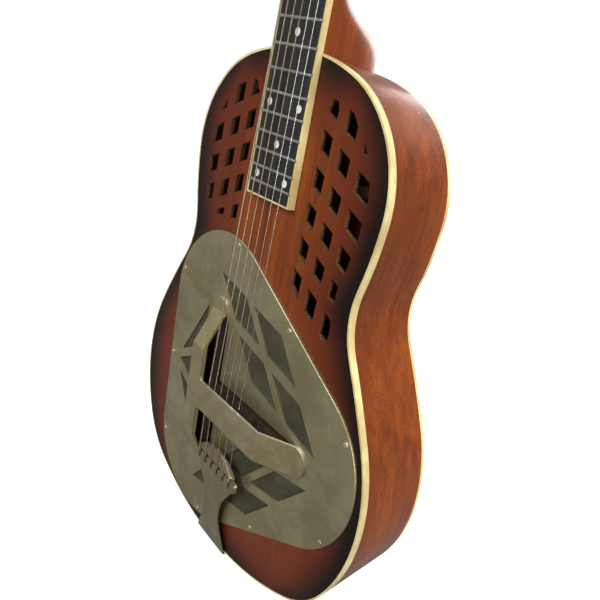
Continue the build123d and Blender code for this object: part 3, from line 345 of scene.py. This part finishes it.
def plain_metal(name, light, dark, rough, turned=False):
    graph = Graph(name)
    scale = (1500, 1500, 1500) if turned else (700, 700, 90)
    lines = graph.noise(scale, detail=3.0)
    cloud = graph.noise((60, 60, 60), detail=5.0)
    colour = graph.mix(graph.step(cloud, 0.3, 0.7), dark, light)
    colour = graph.mix(graph.step(lines, 0.4, 0.8, 0.0, 0.35), colour, dark)
    graph.bump(lines, 0.08, 0.0002)
    return graph.finish(colour, graph.step(lines, 0.3, 0.7, rough, rough + 0.14), metallic=1.0)


def wire_mesh():
    """Fine woven screen: crossing dull, dark wires, with painted shade in the gaps between them."""
    graph = Graph("woven_screen")
    x, _, z = graph.axes()
    turn = 2 * math.pi / SCREEN_PITCH / math.sqrt(2)
    across = graph.math("SINE", graph.math("MULTIPLY", graph.math("ADD", x, z), turn))
    down = graph.math("SINE", graph.math("MULTIPLY", graph.math("SUBTRACT", x, z), turn))
    wires = graph.math("MAXIMUM", across, down)
    cloud = graph.noise((26, 26, 26), detail=6.0, rough=0.65)
    wire_colour = graph.mix(graph.step(cloud, 0.35, 0.7), (0.090, 0.084, 0.046), (0.170, 0.160, 0.100))
    # painted shade: the gaps between the wires are nearly black
    colour = graph.mix(graph.step(wires, 0.0, 0.75), (0.016, 0.015, 0.010), wire_colour)
    graph.bump(wires, 0.5, 0.0003)
    return graph.finish(colour, 0.55, metallic=0.55)


def wound_string():
    """Bronze winding: close rings along the string, with painted shade in the grooves between turns."""
    graph = Graph("wound_string")
    z = graph.axes()[2]
    rings = graph.math("SINE", graph.math("MULTIPLY", z, 2 * math.pi / WINDING_PITCH))
    # painted shade: the colour darkens in the grooves between the turns
    colour = graph.mix(graph.step(rings, -0.6, 0.6), (0.20, 0.15, 0.085), (0.62, 0.52, 0.36))
    graph.bump(rings, 0.5, 0.0001)
    return graph.finish(colour, 0.32, metallic=1.0)


# ---------------------------------------------------------------- which node wears what
def materials_by_slot():
    """The record's material slots, each with its material."""
    return {
        "top_wood": top_wood(),
        "side_wood": side_wood(),
        "inner_wood": inner_wood(),
        "bridge_wood": bridge_wood(),
        "board_wood": board_wood(),
        "veneer": veneer(),
        "binding": cream_binding(),
        "pearl": smooth_plastic("pearl", (0.80, 0.80, 0.78), (0.58, 0.60, 0.60), 0.12),
        "bone": smooth_plastic("bone", (0.78, 0.72, 0.58), (0.62, 0.54, 0.38), 0.25),
        "button_plastic": smooth_plastic("ivoroid", (0.82, 0.78, 0.66), (0.64, 0.56, 0.40), 0.16),
        "nickel_plate": aged_nickel("aged_nickel"),
        "screen": wire_mesh(),
        "spun_aluminium": plain_metal("spun_aluminium", (0.72, 0.72, 0.73), (0.42, 0.42, 0.43), 0.24, True),
        "fret_wire": plain_metal("fret_wire", (0.78, 0.77, 0.70), (0.56, 0.54, 0.46), 0.20),
        "plain_string": plain_metal("plain_string", (0.80, 0.80, 0.80), (0.60, 0.60, 0.60), 0.18),
        "wound_string": wound_string(),
        "steel": plain_metal("plain_steel", (0.50, 0.50, 0.50), (0.32, 0.32, 0.32), 0.35),
        "tuner_metal": aged_nickel("tuner_nickel", (1.25, 1.28, 1.4), 0.3),
        "gear_brass": plain_metal("gear_brass", (0.66, 0.48, 0.20), (0.42, 0.28, 0.10), 0.26, True),
    }


def paint_nodes():
    """Give every node its slot's material, or its own lighter or darker tinted copy of the nickel where one
    node is set apart; the hand rest's copy also carries a painted highlight.
    """
    made = materials_by_slot()
    own = {
        # the hand rest: a lighter tint with a painted highlight on the faces that point up
        "handrest": aged_nickel("handrest_nickel", (1.08, 1.05, 1.0), 0.25, True),
        "tailpiece": aged_nickel("tailpiece_nickel", (0.86, 0.84, 0.86), 0.15),
        "coverplate_screws": aged_nickel("screw_nickel", (1.3, 1.28, 1.25), 0.5),
    }
    for part in frame["record"]["subparts"]:
        node = NODES[part["node"]]
        material = own.get(part["node"], made[part["material_slot"]])
        node.data.materials.clear()
        node.data.materials.append(material)


# ---------------------------------------------------------------- studio
def camera_axes():
    """The directions right, up and back as the camera sees them."""
    azimuth = math.radians(CAMERA_AZIMUTH)
    elevation = math.radians(CAMERA_ELEVATION)
    roll = math.radians(CAMERA_ROLL)
    flat = math.cos(elevation)
    back = Vector((math.sin(azimuth) * flat, -math.cos(azimuth) * flat, math.sin(elevation)))
    level = Vector((0, 0, 1)).cross(back).normalized()
    upright = back.cross(level)
    right = math.cos(roll) * level + math.sin(roll) * upright
    up = math.cos(roll) * upright - math.sin(roll) * level
    return right, up, back


def add_camera():
    camera = bpy.data.objects.new("camera", bpy.data.cameras.new("camera"))
    bpy.context.scene.collection.objects.link(camera)
    turn = Matrix(camera_axes()).transposed().to_4x4()
    camera.matrix_world = Matrix.Translation(CAMERA_PLACE) @ turn
    camera.data.sensor_width = 36
    camera.data.lens = CAMERA_LENS
    camera.data.shift_x, camera.data.shift_y = CAMERA_SHIFT
    camera.data.clip_start = 0.01
    bpy.context.scene.camera = camera


def add_light(name, place, aim, size, power, colour=(1, 1, 1)):
    light = bpy.data.lights.new(name, "AREA")
    light.shape = "RECTANGLE"
    light.size, light.size_y = size
    light.energy = power
    light.color = colour
    lamp = bpy.data.objects.new(name, light)
    lamp.location = place
    direction = Vector(aim) - Vector(place)
    lamp.rotation_euler = direction.to_track_quat("-Z", "Y").to_euler()
    bpy.context.scene.collection.objects.link(lamp)


def add_studio():
    low, high = CAD_BOX
    middle = (low + high) / 2
    bpy.ops.mesh.primitive_plane_add(size=FLOOR_SIZE, location=(0, 0, low.z - FLOOR_GAP))
    floor = bpy.context.object
    floor.name = "floor"
    graph = Graph("pale_floor")
    tone = graph.mix(graph.noise((2, 2, 2)), (0.86, 0.86, 0.86), (0.90, 0.90, 0.90))
    graph.shader.inputs["Emission Color"].default_value = (1, 1, 1, 1)
    graph.shader.inputs["Emission Strength"].default_value = FLOOR_GLOW
    floor.data.materials.append(graph.finish(tone, 0.9, specular=0.1))
    floor.visible_glossy = False
    floor.visible_diffuse = False
    world = bpy.data.worlds.new("studio")
    bpy.context.scene.world = world
    world.use_nodes = True
    background = world.node_tree.nodes["Background"]
    background.inputs["Color"].default_value = (1, 1, 1, 1)
    seen = world.node_tree.nodes.new("ShaderNodeLightPath").outputs["Is Camera Ray"]
    strength = world.node_tree.nodes.new("ShaderNodeMapRange")
    strength.inputs["To Min"].default_value = ROOM_LIGHT
    strength.inputs["To Max"].default_value = BACKDROP_LIGHT
    world.node_tree.links.new(seen, strength.inputs["Value"])
    world.node_tree.links.new(strength.outputs["Result"], background.inputs["Strength"])
    add_light("key", (-0.3, -2.2, 1.9), middle, (1.6, 1.2), 60)
    add_light("treble_side", (2.2, -0.3, 0.8), middle, (0.8, 1.6), 36, (1.0, 0.97, 0.93))
    add_light("window", (0.9, 0.5, 2.3), middle, (1.0, 1.0), 44, (0.86, 0.92, 1.0))
    add_light("behind", (-0.6, 2.2, 1.2), middle, (1.4, 1.2), 22)
    bpy.context.scene.view_settings.view_transform = "Standard"
    bpy.context.scene.view_settings.look = "None"


paint_nodes()
add_camera()
add_studio()
